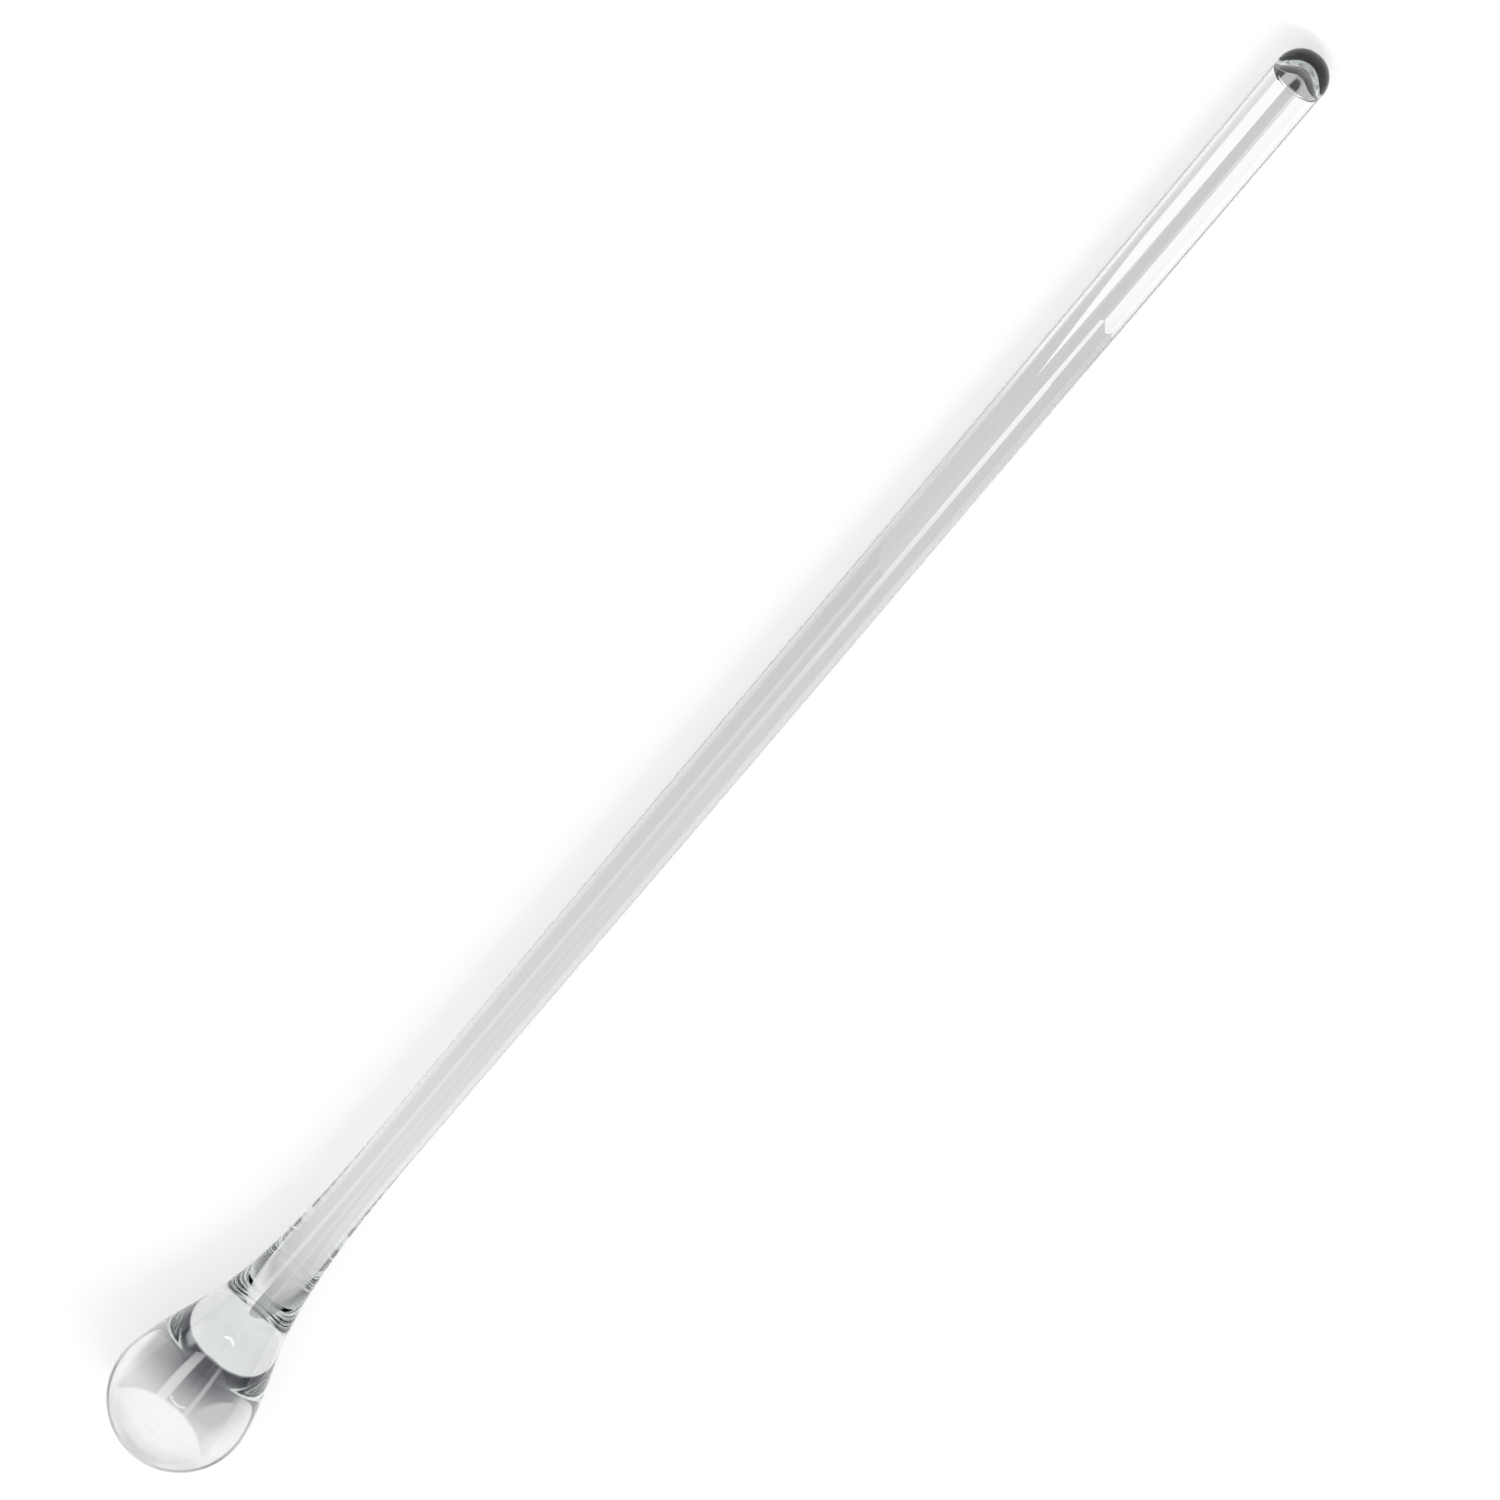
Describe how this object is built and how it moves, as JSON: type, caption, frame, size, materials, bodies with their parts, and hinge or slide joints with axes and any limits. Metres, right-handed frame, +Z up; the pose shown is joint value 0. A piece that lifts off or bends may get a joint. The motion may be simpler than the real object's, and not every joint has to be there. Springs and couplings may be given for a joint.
{
  "type": "glass stirring rod",
  "caption": "Solid clear-glass rod with a drop-shaped ball end and a rounded tip, for stirring and crushing; it has no scale, ballast or cavity.",
  "frame": {"origin": "middle of the footprint of the rod as it lies on a surface, on that surface", "axes": "+X along the rod from its ball end towards its round tip, +Z up from the surface"},
  "size_m": [0.25, 0.0164, 0.0164],
  "materials": {
    "clear_glass": "fire-polished and clear, with a faint green edge"
  },
  "bodies": {
    "root": {"bulb": "clear_glass", "neck": "clear_glass", "stem": "clear_glass"}
  },
  "joints": []
}
